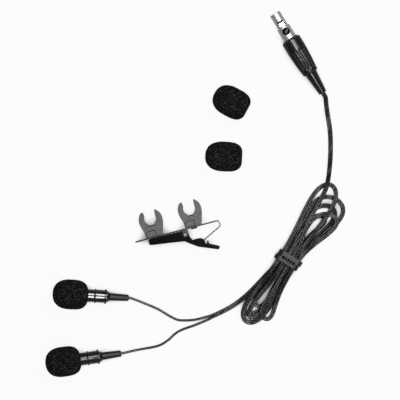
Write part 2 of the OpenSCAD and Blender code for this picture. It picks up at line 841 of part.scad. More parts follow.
module holder_rivet(x) {
    head_r = rivet_head_d / 2;
    head_y = bar_top + holder_gap + floor_h + seated;
    color([0.3, 0.3, 0.3])
        translate([x, 0, 0])
            rotate([-90, 0, 0])
                rotate_extrude()
                    polygon([
                        [0, -bar_half - 0.8], [head_r, -bar_half - 0.8],
                        [head_r, -bar_half], [rivet_d / 2, -bar_half],
                        [rivet_d / 2, head_y], [head_r, head_y],
                        [head_r, head_y + 0.4], [head_r - 0.2, head_y + 0.6],
                        [0, head_y + 0.6]
                    ]);
}

// A C-shaped holder that grips a barrel, seen from the side, foot at y = 0
module mic_holder(x) {
    seat_r = seat_d / 2;
    seat_y = floor_h + 0.8 + seat_r;
    inside = seat_r - 0.45;
    mouth = inside - 0.1;
    // The two outer edges, as shares of half the width and of the height
    left = [
        [-0.7, 0], [-0.77, 0.23], [-0.94, 0.48], [-0.98, 0.71], [-0.83, 0.9],
        [-0.65, 0.99], [-0.51, 0.98]
    ];
    right = [[0.56, 1], [0.83, 0.9], [1, 0.75], [1.02, 0.52], [0.86, 0.23], [0.7, 0]];
    function sized(edge) = [for (p = edge) [p[0] * holder_w / 2, p[1] * holder_h]];
    arms = concat(
        sized(left),
        [
            [-inside, seat_y + 2], [-inside, seat_y], [0, floor_h + 0.4],
            [inside, seat_y], [inside + 0.4, seat_y + 2]
        ],
        sized(right)
    );
    color(grey)
        translate([x, bar_top + holder_gap, 0])
            difference() {
                across(holder_t) {
                    difference() {
                        polygon(smooth_path(arms, 3));
                        translate([-mouth, seat_y])
                            square([2 * mouth, holder_h]);
                        translate([-rivet_head_d / 2 - running, floor_h])
                            square([rivet_head_d + 2 * running, seat_y - floor_h]);
                    }
                }
                translate([0, seat_y, -holder_t])
                    cylinder(r = seat_r, h = 2 * holder_t);
                translate([0, -past, 0])
                    rotate([-90, 0, 0])
                        cylinder(r = rivet_d / 2 + running, h = floor_h + 2 * past);
            }
}

// ---- spare windscreens, lying on their sides ----
module spare(at, yaw)
    color(black)
        translate([at[0], at[1], windscreen_d / 2])
            rotate([0, 0, yaw])
                translate([spare_len / 2, 0, 0])
                    foam(spare_len);

at_mic(mic_a_at, mic_a_yaw) windscreen();  // windscreen_a
at_mic(mic_a_at, mic_a_yaw) front_shell();  // front_shell_a
at_mic(mic_a_at, mic_a_yaw) grille();  // grille_a
at_mic(mic_a_at, mic_a_yaw) capsule();  // capsule_a
at_mic(mic_a_at, mic_a_yaw) gasket();  // gasket_a
at_mic(mic_a_at, mic_a_yaw) joint_ring();  // joint_ring_a
at_mic(mic_a_at, mic_a_yaw) rear_shell();  // rear_shell_a
at_mic(mic_a_at, mic_a_yaw) strain_relief();  // strain_relief_a
cable_a();
at_mic(mic_b_at, mic_b_yaw) windscreen();  // windscreen_b
at_mic(mic_b_at, mic_b_yaw) front_shell();  // front_shell_b
at_mic(mic_b_at, mic_b_yaw) grille();  // grille_b
at_mic(mic_b_at, mic_b_yaw) capsule();  // capsule_b
at_mic(mic_b_at, mic_b_yaw) gasket();  // gasket_b
at_mic(mic_b_at, mic_b_yaw) joint_ring();  // joint_ring_b
at_mic(mic_b_at, mic_b_yaw) rear_shell();  // rear_shell_b
at_mic(mic_b_at, mic_b_yaw) strain_relief();  // strain_relief_b
cable_b();
cable_split_run();
cable_hank();
cable_tie();
cable_plug_run();
at_plug() plug_shell();
at_plug() plug_insert();
at_plug() plug_contacts();
at_plug() plug_latch();
at_plug() plug_button();
at_plug() plug_collar();
at_plug() plug_cable_clamp();
at_plug() plug_boot();
at_clip() clip_bar();
at_clip() clip_spring();
at_clip() clip_pin();
at_clip() clip_jaw();
at_clip() holder_rivet(-front_holder_x);  // holder_rivet_a
at_clip() holder_rivet(rear_holder_x);  // holder_rivet_b
at_clip() mic_holder(-front_holder_x);  // mic_holder_a
at_clip() mic_holder(rear_holder_x);  // mic_holder_b
spare(spare_a_at, spare_a_yaw);  // spare_windscreen_a
spare(spare_b_at, spare_b_yaw);  // spare_windscreen_b
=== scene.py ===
"""The looks of a dual lavalier microphone kit that lies on a table.

Two small microphones share one twin lead with a round plug. The lead is folded and
tied. A tie clip with two holders and two spare foam windscreens lie beside it.
"""

import json
import logging
import math
from dataclasses import dataclass, field, replace
from enum import Enum
from typing import Any, NamedTuple, Sequence

import bmesh
import bpy
from mathutils import Matrix, Vector, noise

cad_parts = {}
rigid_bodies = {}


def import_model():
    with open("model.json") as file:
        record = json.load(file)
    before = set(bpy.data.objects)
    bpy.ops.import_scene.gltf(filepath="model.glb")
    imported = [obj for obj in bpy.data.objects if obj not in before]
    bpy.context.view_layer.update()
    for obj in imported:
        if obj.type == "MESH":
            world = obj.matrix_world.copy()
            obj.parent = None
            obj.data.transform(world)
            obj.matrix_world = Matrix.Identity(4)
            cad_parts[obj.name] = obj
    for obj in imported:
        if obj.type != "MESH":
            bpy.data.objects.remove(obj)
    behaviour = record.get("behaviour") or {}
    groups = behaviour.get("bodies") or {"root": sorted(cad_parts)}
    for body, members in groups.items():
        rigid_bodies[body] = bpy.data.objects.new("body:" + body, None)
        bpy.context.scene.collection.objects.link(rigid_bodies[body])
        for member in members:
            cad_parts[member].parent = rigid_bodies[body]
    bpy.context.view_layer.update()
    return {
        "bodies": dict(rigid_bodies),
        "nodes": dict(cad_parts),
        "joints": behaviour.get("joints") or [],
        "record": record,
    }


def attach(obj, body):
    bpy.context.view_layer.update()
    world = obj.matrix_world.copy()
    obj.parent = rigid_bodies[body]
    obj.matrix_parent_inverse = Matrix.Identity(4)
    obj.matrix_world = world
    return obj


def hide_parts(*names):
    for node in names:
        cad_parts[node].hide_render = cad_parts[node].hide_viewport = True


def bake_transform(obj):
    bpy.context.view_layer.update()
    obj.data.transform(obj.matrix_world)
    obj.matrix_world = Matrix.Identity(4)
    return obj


log = logging.getLogger("lavalier")
MM = 0.001
# Points of a mesh that are closer than this, in millimetres, are one
MERGE = 0.0005
# Faces that meet at less than this are one flat face
FLAT = math.radians(0.8)
Point = tuple[float, float, float]
Profile = Sequence[tuple[float, float]]
Frame = dict[str, Any]
Dressed = dict[str, bpy.types.Material]


# ---------------------------------------------------------------- shader maths


class Signal:
    """A shader socket on which plain arithmetic adds the Math nodes."""

    def __init__(self, paint: "Paint", socket: Any) -> None:
        """Wraps one output socket of a node."""
        self.paint = paint
        self.socket = socket

    def math(self, operation: str, *values: Any) -> "Signal":
        """Adds a Math node.

        Args:
            operation: the node's operation.
            values: its inputs, as signals or numbers.

        Returns:
            The node's result.
        """
        made = self.paint.node(
            "ShaderNodeMath", {"operation": operation}, dict(enumerate(values))
        )
        return Signal(self.paint, made.outputs[0])

    def __add__(self, other: Any) -> "Signal":
        """Returns the sum."""
        return self.math("ADD", self, other)

    def __mul__(self, other: Any) -> "Signal":
        """Returns the product."""
        return self.math("MULTIPLY", self, other)

    def clear_of(self, low: float, high: float) -> "Signal":
        """Returns 0 below low, 1 above high and a smooth step between."""
        made = self.paint.node(
            "ShaderNodeMapRange",
            {"interpolation_type": "SMOOTHSTEP"},
            {"Value": self, "From Min": low, "From Max": high},
        )
        return Signal(self.paint, made.outputs[0])


class Paint:
    """One material's node tree, from its coordinates to its Principled shader."""

    def __init__(self, name: str) -> None:
        """Starts an empty material of that name."""
        self.material = bpy.data.materials.new(name)
        self.material.use_nodes = True
        self.tree = self.material.node_tree
        self.tree.nodes.clear()
        self.output = self.node("ShaderNodeOutputMaterial")
        self.coords = self.node("ShaderNodeTexCoord")

    def node(
        self,
        kind: str,
        settings: dict[str, Any] | None = None,
        inputs: dict[Any, Any] | None = None,
    ) -> bpy.types.Node:
        """Adds a node.

        Args:
            kind: the node's type.
            settings: its properties, set before its sockets are filled.
            inputs: what each socket gets: a signal, an output socket or a value.

        Returns:
            The new node.
        """
        made = self.tree.nodes.new(kind)
        for key, value in (settings or {}).items():
            setattr(made, key, value)
        for key, value in (inputs or {}).items():
            socket = made.inputs[key]
            source = value.socket if isinstance(value, Signal) else value
            if isinstance(source, bpy.types.NodeSocket):
                self.tree.links.new(source, socket)
            else:
                socket.default_value = source
        return made

    def placed(self, scale: Sequence[float], turn: float = 0.0) -> Any:
        """Returns object coordinates along axes turned about Z, scaled one by one."""
        made = self.node(
            "ShaderNodeMapping",
            {"vector_type": "TEXTURE"},
            {
                "Vector": self.coords.outputs["Object"],
                "Rotation": (0, 0, turn),
                "Scale": tuple(1 / s for s in scale),
            },
        )
        return made.outputs["Vector"]

    def noise(self, per_metre: float, detail: float = 3.0, where: Any = None) -> Signal:
        """Returns fractal noise with about that many cells to the metre."""
        made = self.node(
            "ShaderNodeTexNoise",
            None,
            {
                "Vector": where or self.coords.outputs["Object"],
                "Scale": per_metre,
                "Detail": detail,
            },
        )
        return Signal(self, made.outputs["Fac"])

    def cells(self, per_metre: float) -> Signal:
        """Returns the distance to the nearest cell centre."""
        made = self.node(
            "ShaderNodeTexVoronoi",
            None,
            {"Vector": self.coords.outputs["Object"], "Scale": per_metre},
        )
        return Signal(self, made.outputs["Distance"])

    def mix(self, amount: Signal, low: Sequence[float], high: Sequence[float]) -> Any:
        """Returns a colour between two colours."""
        made = self.node(
            "ShaderNodeMix",
            {"data_type": "RGBA"},
            {0: amount, 6: (*low, 1), 7: (*high, 1)},
        )
        return made.outputs[2]

    def bump(self, height: Signal, depth: float, strength: float) -> Any:
        """Returns a normal that is bumped by a height of that depth in metres."""
        made = self.node(
            "ShaderNodeBump",
            None,
            {"Height": height, "Distance": depth, "Strength": strength},
        )
        return made.outputs["Normal"]

    def finish(self, **sockets: Any) -> bpy.types.Material:
        """Closes the tree with a Principled shader.

        Args:
            sockets: its sockets by name, with _ for a space.

        Returns:
            The finished material.
        """
        named = {key.replace("_", " "): value for key, value in sockets.items()}
        shader = self.node("ShaderNodeBsdfPrincipled", None, named)
        self.tree.links.new(shader.outputs[0], self.output.inputs["Surface"])
        return self.material


# -------------------------------------------------------------------- finishes
# Noise and cell scales are counts to the metre, and bump depths are in metres.


@dataclass(frozen=True)
class CordJacket:
    """Black PVC of the thin leads and the twin cable, with a shine where it is worn.

    The worn streaks run about along the hank.
    """

    dark: Point = (0.002, 0.002, 0.0022)
    light: Point = (0.005, 0.005, 0.0055)
    rough: float = 0.36
    turn: float = math.radians(63)
    streaks: float = 0.85

    def material(self) -> bpy.types.Material:
        """Returns the jacket's material."""
        paint = Paint("cord_jacket")
        cloud = paint.noise(260, 4)
        worn = paint.noise(1, 2, paint.placed((16, 330, 330), self.turn))
        return paint.finish(
            Base_Color=paint.mix(cloud, self.dark, self.light),
            Roughness=cloud * 0.12 + (self.rough - 0.06),
            Specular_IOR_Level=0.25,
            Coat_Weight=worn.clear_of(0.42, 0.6) * self.streaks + (1 - self.streaks),
            Coat_IOR=1.6,
            Coat_Roughness=0.29,
        )


@dataclass(frozen=True)
class WindscreenFoam:
    """Black open-cell foam: dull, with pores painted darker as shade and paler cell
    walls.
    """

    # deep is the pores' painted shade
    deep: Point = (0.0015, 0.0015, 0.0017)
    wall: Point = (0.075, 0.075, 0.078)

    def material(self) -> bpy.types.Material:
        """Returns the foam's material."""
        paint = Paint("windscreen_foam")
        grain = paint.noise(1500, 4)
        cells = paint.cells(1900)
        clump = paint.noise(900, 2).clear_of(0.46, 0.68) * 0.85 + 0.15
        # The colour mask follows the bump's height, so the pores are painted shade,
        # over random grain and clumps
        colour_mask = (grain * 0.75 + cells * 0.5).clear_of(0.42, 0.86) * clump
        height = grain + cells * 0.6
        return paint.finish(
            Base_Color=paint.mix(colour_mask, self.deep, self.wall),
            Roughness=1.0,
            Specular_IOR_Level=0.08,
            Normal=paint.bump(height, 0.0003, 0.9),
        )


@dataclass(frozen=True)
class Lacquer:
    """Hard black lacquer over turned metal: deep, with a wavy clear coat."""

    name: str = "barrel_lacquer"
    dark: Point = (0.0025, 0.0025, 0.0028)
    light: Point = (0.006, 0.006, 0.0066)
    rough: float = 0.25
    gloss: float = 0.2
    coat: float = 0.9
    coat_rough: float = 0.06
    wave: float = 0.25

    def material(self) -> bpy.types.Material:
        """Returns the lacquer's material."""
        paint = Paint(self.name)
        cloud = paint.noise(420, 4)
        return paint.finish(
            Base_Color=paint.mix(cloud, self.dark, self.light),
            Roughness=cloud * 0.1 + (self.rough - 0.05),
            Specular_IOR_Level=self.gloss,
            Coat_Weight=self.coat,
            Coat_IOR=1.8,
            Coat_Roughness=self.coat_rough,
            Normal=paint.bump(paint.noise(300, 2), 0.000004, self.wave),
        )


@dataclass(frozen=True)
class Rubber:
    """Moulded black rubber with a faint bloom and a fine moulded texture."""

    name: str
    dark: Point = (0.008, 0.008, 0.0088)
    light: Point = (0.018, 0.018, 0.0195)
    rough: float = 0.5
    gloss: float = 0.5

    def material(self) -> bpy.types.Material:
        """Returns the rubber's material."""
        paint = Paint(self.name)
        bloom = paint.noise(330, 5)
        return paint.finish(
            Base_Color=paint.mix(bloom, self.dark, self.light),
            Roughness=bloom * 0.2 + (self.rough - 0.1),
            Specular_IOR_Level=self.gloss,
            Normal=paint.bump(paint.noise(4200, 2), 0.00003, 0.5),
        )


@dataclass(frozen=True)
class Metal:
    """Bright plated or brushed steel with hair-fine drawn lines and dull spots."""

    name: str
    bright: Point = (0.82, 0.82, 0.83)
    dull: Point = (0.56, 0.56, 0.57)
    rough: float = 0.16
    worn: float = 0.08

    def material(self) -> bpy.types.Material:
        """Returns the metal's material."""
        paint = Paint(self.name)
        hair = paint.noise(1, 3, paint.placed((250, 9000, 9000)))
        spots = paint.noise(500, 4).clear_of(0.5, 0.9)
        return paint.finish(
            Base_Color=paint.mix(spots, self.bright, self.dull),
            Metallic=1.0,
            Roughness=hair * (self.worn / 2) + spots * self.worn + self.rough,
            Normal=paint.bump(hair, 0.000002, 0.3),
        )


@dataclass(frozen=True)
class Plastic:
    """Moulded plastic with a fine spark-eroded grain and rubbed high spots."""

    name: str
    dark: Point = (0.1, 0.1, 0.103)
    light: Point = (0.22, 0.22, 0.225)
    rough: float = 0.5

    def material(self) -> bpy.types.Material:
        """Returns the plastic's material."""
        paint = Paint(self.name)
        grain = paint.noise(1100, 4)
        wear = paint.noise(260, 5)
        colour_mask = (grain * 0.7 + wear * 0.3).clear_of(0.3, 0.7)
        return paint.finish(
            Base_Color=paint.mix(colour_mask, self.dark, self.light),
            Roughness=wear * 0.2 + (self.rough - 0.1),
            Specular_IOR_Level=0.4,
            Normal=paint.bump(grain, 0.00004, 0.6),
        )


# ------------------------------------------------------------- shapes in common


def ease(t: float) -> float:
    """Returns a smooth step from 0 to 1."""
    c = min(1.0, max(0.0, t))
    return c * c * (3 - 2 * c)


def blend(a: float, b: float, t: float) -> float:
    """Returns the value that lies t of the way from a to b."""
    return a + (b - a) * t


def smooth_path(points: Sequence[Sequence[float]], steps: int) -> list[Vector]:
    """Runs a curve through points, with a straight span at each end.

    Args:
        points: the points that it goes through, in millimetres.
        steps: the parts in each span.

    Returns:
        The curve's points.
    """
    knots = [Vector(p) for p in points]
    last = len(knots) - 1
    path = []
    for i in range(last):
        for j in range(steps):
            t = j / steps
            if i in (0, last - 1):
                path.append(knots[i].lerp(knots[i + 1], t))
                continue
            a, b, c, d = knots[i - 1 : i + 3]
            path.append(
                0.5
                * (
                    2 * b
                    + (c - a) * t
                    + (2 * a - 5 * b + 4 * c - d) * t**2
                    + (3 * b - a - 3 * c + d) * t**3
                )
            )
    return [*path, knots[-1]]


def length_of(path: Sequence[Vector]) -> float:
    """Returns the length of a line of points."""
    return sum((b - a).length for a, b in zip(path, path[1:]))


@dataclass(frozen=True)
class Lie:
    """How a rigid piece lies on the table: its origin in millimetres and its turns."""

    x: float
    y: float
    z: float
    yaw: float
    lean: float = 0.0

    def matrix(self) -> Matrix:
        """Returns the matrix from the piece's millimetres to the table's metres."""
        return (
            Matrix.Translation(Vector((self.x, self.y, self.z)) * MM)
            @ Matrix.Rotation(math.radians(self.yaw), 4, "Z")
            @ Matrix.Rotation(math.radians(self.lean), 4, "Y")
            @ Matrix.Scale(MM, 4)
        )

    def point(self, x: float, y: float = 0.0, z: float = 0.0) -> Vector:
        """Returns a point of the piece on the table, in millimetres."""
        return self.matrix() @ Vector((x, y, z)) / MM

    def way(self) -> Vector:
        """Returns the direction of the piece's own X on the table."""
        return (self.point(1) - self.point(0)).normalized()


def object_of(name: str, data: bpy.types.ID) -> bpy.types.Object:
    """Links a mesh, curve, light or camera to the scene as an object at the origin."""
    made = bpy.data.objects.new(name, data)
    bpy.context.scene.collection.objects.link(made)
    return made


def sharp_edges(bm: bmesh.types.BMesh, angle: float) -> list[bmesh.types.BMEdge]:
    """Returns the edges at which two faces meet at more than that many degrees."""
    limit = math.radians(angle)
    return [
        e for e in bm.edges if len(e.link_faces) == 2 and e.calc_face_angle(0) > limit
    ]


def soften(bm: bmesh.types.BMesh, width: float, angle: float = 28.0) -> None:
    """Rounds the sharp edges of a shape by that width."""
    bmesh.ops.bevel(
        bm,
        geom=sharp_edges(bm, angle),
        offset=width,
        offset_type="OFFSET",
        affect="EDGES",
        segments=2,
        profile=0.5,
        material=-1,
        clamp_overlap=True,
    )


def turn_round(profile: Profile, segments: int) -> bmesh.types.BMesh:
    """Spins a profile of (x, radius) points a full turn about X.

    Args:
        profile: the points, in order; a radius of 0 lies on the axis.
        segments: the parts in the turn.

    Returns:
        The closed shape.
    """
    bm = bmesh.new()
    knots = [bm.verts.new((x, 0, r)) for x, r in profile]
    edges = [bm.edges.new(pair) for pair in zip(knots, knots[1:])]
    if profile[0][1] > 0 and profile[-1][1] > 0:
        edges.append(bm.edges.new((knots[-1], knots[0])))
    bmesh.ops.spin(
        bm,
        geom=knots + edges,
        cent=(0, 0, 0),
        axis=(1, 0, 0),
        angle=math.tau,
        steps=segments,
        use_merge=True,
    )
    bmesh.ops.remove_doubles(bm, verts=bm.verts, dist=MERGE)
    bmesh.ops.recalc_face_normals(bm, faces=bm.faces)
    return bm


def corner_normals(bm: bmesh.types.BMesh, crease: float) -> list[Vector]:
    """Returns a normal for each face corner, weighted by area.

    Large faces keep their own normal right up to a narrow rounded edge, so that
    flats and cylinders mirror the lights without a bend at their ends.

    Args:
        bm: the shape.
        crease: the angle in degrees beyond which two faces don't blend.

    Returns:
        The normals, face by face.
    """
    near = math.cos(math.radians(crease))
    area = {face: face.calc_area() for face in bm.faces}
    normals = []
    for face in bm.faces:
        own = face.normal
        for loop in face.loops:
            total = Vector((0.0, 0.0, 0.0))
            for other in loop.vert.link_faces:
                if other.normal.dot(own) > near:
                    total += other.normal * area[other]
            normals.append(total.normalized() if total.length else own.copy())
    return normals


def cut_from_sheet(
    outline: Sequence[tuple[float, float]], low: float, high: float
) -> bmesh.types.BMesh:
    """Extrudes an outline in X and Y from one height to another.

    Args:
        outline: its corners in order.
        low: the height that it starts from.
        high: the height that it reaches.

    Returns:
        The closed shape.
    """
    bm = bmesh.new()
    face = bm.faces.new([bm.verts.new((x, y, low)) for x, y in outline])
    grown = bmesh.ops.extrude_face_region(bm, geom=[face])["geom"]
    tops = [v for v in grown if isinstance(v, bmesh.types.BMVert)]
    bmesh.ops.translate(bm, verts=tops, vec=(0, 0, high - low))
    bmesh.ops.recalc_face_normals(bm, faces=bm.faces)
    return bm


def solid_copy(mesh: bpy.types.Mesh) -> bmesh.types.BMesh:
    """Returns a merged copy of a solid's mesh, in millimetres."""
    bm = bmesh.new()
    bm.from_mesh(mesh)
    bm.transform(Matrix.Scale(1 / MM, 4))
    bmesh.ops.remove_doubles(bm, verts=bm.verts, dist=MERGE)
    return bm


def join_flats(bm: bmesh.types.BMesh) -> None:
    """Joins the triangles of each flat face."""
    bmesh.ops.dissolve_limit(bm, angle_limit=FLAT, verts=bm.verts, edges=bm.edges)


def rim_arc(end: float, middle_r: float, r: float) -> list[tuple[float, float]]:
    """Returns the quarter round of a rim, from its outside to its end face.

    Args:
        end: where the end face stands along X.
        middle_r: how far the round's centre is from the axis.
        r: the round's radius.

    Returns:
        The points, as (x, radius).
    """
    turns = [math.radians(a) for a in range(0, 91, 15)]
    return [(end - r + r * math.sin(t), middle_r + r * math.cos(t)) for t in turns]


class Bend(NamedTuple):
    """A second body and two points on a springy piece, in metres; a piece that has one
    is left unattached.
    """

    body: str
    start: Point
    end: Point


@dataclass
class Fitting:
    """What a finished piece is called, where it lies and what it stands for."""

    name: str
    body: str
    slot: str
    nodes: tuple[str, ...] = ()
    crease: float = 32.0
    bend: Bend | None = None

    def place(
        self, bm: bmesh.types.BMesh, lie: Lie | None, material: bpy.types.Material
    ) -> bpy.types.Object:
        """Turns a shape into a dressed piece that rides on its body.

        Args:
            bm: the shape, in its own millimetres; it is freed.
            lie: how it lies on the table, or None if it is already there.
            material: its finish.

        Returns:
            The piece.
        """
        if lie is not None:
            bm.transform(lie.matrix())
        mesh = bpy.data.meshes.new(self.name)
        bm.normal_update()
        normals = corner_normals(bm, self.crease)
        bm.to_mesh(mesh)
        bm.free()
        mesh.materials.append(material)
        mesh.shade_smooth()
        mesh.set_sharp_from_angle(angle=math.radians(self.crease))
        mesh.normals_split_custom_set(normals)
        made = object_of(self.name, mesh)
        if self.bend is None:
            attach(made, self.body)
        else:
            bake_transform(made)
        if self.nodes:
            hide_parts(*self.nodes)
        log.info("made %s: %d faces", self.name, len(mesh.polygons))
        return made

    def from_solid(
        self, frame: Frame, material: bpy.types.Material, edge: float = 0.0
    ) -> bpy.types.Object:
        """Makes the piece from a merged copy of its own solid, with eased edges.

        Args:
            frame: the loaded frame.
            material: its finish.
            edge: how far its sharp edges are rounded, in millimetres.

        Returns:
            The piece.
        """
        bm = solid_copy(frame["nodes"][self.nodes[0]].data)
        join_flats(bm)
        if edge:
            soften(bm, edge)
        bm.transform(Matrix.Scale(MM, 4))
        return self.place(bm, None, material)


def curve_line(name: str, path: Sequence[Vector]) -> bpy.types.Object:
    """Makes an open curve of straight spans through points in metres."""
    data = bpy.data.curves.new(name, "CURVE")
    data.dimensions = "3D"
    spline = data.splines.new("POLY")
    spline.points.add(len(path) - 1)
    for knot, place in zip(spline.points, path):
        knot.co = (*place, 1)
    return object_of(name, data)


# ----------------------------------------------------------------------- cable


@dataclass
class Hank:
    """The folded middle of the twin cable, in millimetres, in its own frame.

    Eleven passes go through the waist, joined by folds at the lower and the upper
    end in turn, and are piled from the top layer down.
    """

    place: tuple[float, float] = (83.9, -17.5)
    yaw: float = math.radians(57.5)
    strand_r: float = 0.7
    waist_step: float = 3.3
    layer_step: float = 2.0
    lift: float = 1.5
    lead: float = 7.0
    climb_reach: float = 26.0
    lift_reach: float = 34.0
    top_layer: int = 3
    columns: tuple[float, ...] = (
        0.5, 1.5, -0.5, 1, -1.5, 1.5, -0.5, 0.5, -0.5, 1.5, -1.5,
    )  # fmt: skip
    layers: tuple[int, ...] = (3, 3, 2, 2, 1, 1, 1, 0, 0, 0)
    reaches: tuple[float, ...] = (37, 36.5, 41, 51.5, 44.5, 46, 33, 33, 40.5, 40.5)
    leans: tuple[float, ...] = (3.2, 6.8, -0.5, -1, -1.2, 3.5, -0.9, 3.7, -5.5, 5)
    swells: tuple[float, ...] = (11, 15, 11, 15, 13.5, 22, 9.5, 10.5, 11, 15)
    necks: tuple[int, ...] = (4, 2, 3, 2, 2, 2, 4, 4, 2, 2)

    def layer(self, fold: int) -> int:
        """Returns the layer that a fold lies in."""
        if fold < 0:
            return self.top_layer
        return self.layers[fold] if fold < len(self.layers) else 0

    def fold_point(self, k: int, turn: float) -> Point:
        """Returns a point on fold k, turned by that many radians of its half turn."""
        start, end = (c * self.waist_step for c in self.columns[k : k + 2])
        out = math.sin(turn) ** 2
        swell = math.copysign(self.swells[k], start - end)
        half = blend((start - end) / 2, swell, math.sin(turn) ** self.necks[k])
        beside = self.layer(k - 1 if turn < math.pi / 2 else k + 1)
        along = self.reaches[k] * math.sin(turn)
        climb = 0.5 * (1 - ease(along / self.climb_reach))
        layer = blend(self.layer(k), beside, climb)
        return (
            (-1 if k % 2 == 0 else 1) * along,
            (start + end) / 2 + self.leans[k] * out + half * math.cos(turn),
            self.strand_r
            + layer * self.layer_step
            + self.lift * (1 - ease(along / self.lift_reach)),
        )

    def on_table(self, p: Sequence[float]) -> Vector:
        """Returns a point of the hank's frame in table coordinates."""
        cos, sin = math.cos(self.yaw), math.sin(self.yaw)
        return Vector(
            (
                self.place[0] + p[0] * cos + p[1] * sin,
                self.place[1] + p[0] * sin - p[1] * cos,
                p[2],
            )
        )

    def path(self, steps: int) -> list[Vector]:
        """Returns the line of the hank from the plug's side to the split's side."""
        width = 4 * self.strand_r
        high = self.strand_r + self.top_layer * self.layer_step + self.lift
        low = self.strand_r + self.lift
        first = self.columns[0] * self.waist_step
        final = self.columns[-1] * self.waist_step
        folds = [
            self.fold_point(k, math.pi * j / steps)
            for k in range(len(self.layers))
            for j in range(steps)
        ]
        return [
            self.on_table(p)
            for p in (
                (self.lead, first, high),
                (self.lead - width, first, high),
                *folds,
                (0, final, low),
                (width - self.lead, final, low),
                (-self.lead, final, low),
            )
        ]


class Lead(Enum):
    """The two thin leads, by the side of the split that they come from."""

    A = 1
    B = -1

    @property
    def key(self) -> str:
        """Returns the ending that its pieces' names have."""
        return self.name.lower()


@dataclass
class Cable:
    """The thin leads, the twin cable and its hank, in millimetres."""

    strand_r: float = 0.7
    split: Point = (40.8, -50.4, 0.7)
    split_yaw: float = math.radians(24)
    hank: Hank = field(default_factory=Hank)
    jacket: CordJacket = field(default_factory=CordJacket)
    split_knots: tuple[Point, ...] = (
        (71.8, -25.6, 1.5), (65.9, -32, 0.85), (59, -38.9, 0.75),
        (52.1, -44.3, 0.7), (46, -47.9, 0.7),
    )  # fmt: skip
    plug_knots: tuple[Point, ...] = (
        (107.2, 72.3, 2), (109.1, 60.3, 0.95), (109.5, 48.3, 0.95),
        (108.6, 36, 3.2), (106.6, 26, 7.2), (102.9, 18.5, 9), (99, 11.5, 9.3),
        (95.6, 5, 9.2), (92.6, -3, 8.6),
    )  # fmt: skip
    lead_knots: dict[Lead, tuple[Point, ...]] = field(
        default_factory=lambda: {
            Lead.A: (
                (-3, -43.3, 0.9), (5.9, -47.1, 0.75), (12.8, -51.2, 0.7),
                (17.6, -53.5, 0.7), (21.8, -53.9, 0.7), (28, -53.5, 0.7),
                (34.5, -51.9, 0.7),
            ),
            Lead.B: (
                (-6.5, -71.6, 0.9), (5.9, -69.2, 0.75), (12.1, -65.7, 0.7),
                (16.3, -61.9, 0.7), (20.4, -59.5, 0.7), (28, -56.8, 0.7),
                (34.9, -54, 0.7),
            ),
        }
    )  # fmt: skip

    def lead(self, side: Lead, exit: Vector, after: Vector) -> bpy.types.Object:
        """Makes one thin lead, from its strain relief to the split.

        Args:
            side: which lead it is.
            exit: where it leaves the strain relief.
            after: the next point on the way out.

        Returns:
            The lead, a curve of one spline.
        """
        run = Vector((math.cos(self.split_yaw), math.sin(self.split_yaw), 0))
        across = Vector((-run.y, run.x, 0)) * side.value * self.strand_r
        ends = [Vector(self.split) + across - run * back for back in (2, 0)]
        path = smooth_path([exit, after, *self.lead_knots[side], *ends], 6)
        made = curve_line(f"thin_lead_{side.key}", [p * MM for p in path])
        made.data.bevel_depth = self.strand_r * MM
        made.data.bevel_resolution = 5
        made.data.use_fill_caps = True
        made.data.materials.append(replace(self.jacket, streaks=0.3).material())
        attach(made, "kit")
        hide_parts(f"cable_{side.key}")
        self.declare_lead(exit * MM, path)
        return made

    def declare_lead(
        self, exit: Vector, path: Sequence[Vector]
    ) -> None:
        """Works out a thin lead's length in metres, which is not kept."""
        length_of(path) * MM

    def twin_line(self, boot_end: Vector, boot_way: Vector) -> list[Vector]:
        """Returns the twin cable's line in metres, from the plug to the split."""
        fold = self.hank.path(40)
        way = Vector((math.cos(self.hank.yaw), math.sin(self.hank.yaw), 0))
        width = 4 * self.strand_r
        plug_side = smooth_path(
            [
                boot_end,
                boot_end + boot_way * width,
                *self.plug_knots,
                fold[0] + way * width,
                fold[0],
            ],
            8,
        )
        split_side = smooth_path(
            [fold[-1], fold[-1] - way * width, *self.split_knots, self.split], 8
        )
        return [p * MM for p in [*plug_side[:-1], *fold[:-1], *split_side]]

    def twin(self, path: Sequence[Vector]) -> bpy.types.Object:
        """Makes the twin cable: two joined strands along one line.

        Args:
            path: the line, in metres.

        Returns:
            The twin cable, a mesh.
        """
        line = curve_line("twin_line", path)
        line.data.twist_mode = "Z_UP"
        line.data.bevel_mode = "OBJECT"
        line.data.bevel_object = self.section()
        line.data.use_fill_caps = True
        bpy.context.view_layer.update()
        graph = bpy.context.evaluated_depsgraph_get()
        mesh = bpy.data.meshes.new_from_object(line.evaluated_get(graph))
        profile = line.data.bevel_object
        bpy.data.objects.remove(line)
        bpy.data.objects.remove(profile)
        for face in mesh.polygons:
            face.use_smooth = True
        mesh.materials.clear()
        mesh.materials.append(self.jacket.material())
        made = object_of("twin_cable", mesh)
        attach(made, "kit")
        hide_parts("cable_plug_run", "cable_hank", "cable_split_run")
        return made

    def declare_twin(
        self,
        path: Sequence[Vector],
        pieces: Sequence[bpy.types.Object],
    ) -> None:
        """Works out the twin cable's length, which is not kept.

        Args:
            path: its line in metres, from the split to the plug.
            pieces: not used.
        """
        length_of(path)

    def section(self) -> bpy.types.Object:
        """Returns the closed outline of two round strands side by side."""
        r = self.strand_r * MM
        turns = [math.radians(24 * k) for k in range(-6, 7)]
        outline = [
            Vector((side * (r + r * math.cos(turn)), side * r * math.sin(turn), 0))
            for side in (1, -1)
            for turn in turns
        ]
        made = curve_line("twin_section", outline)
        made.data.splines[0].use_cyclic_u = True
        return made


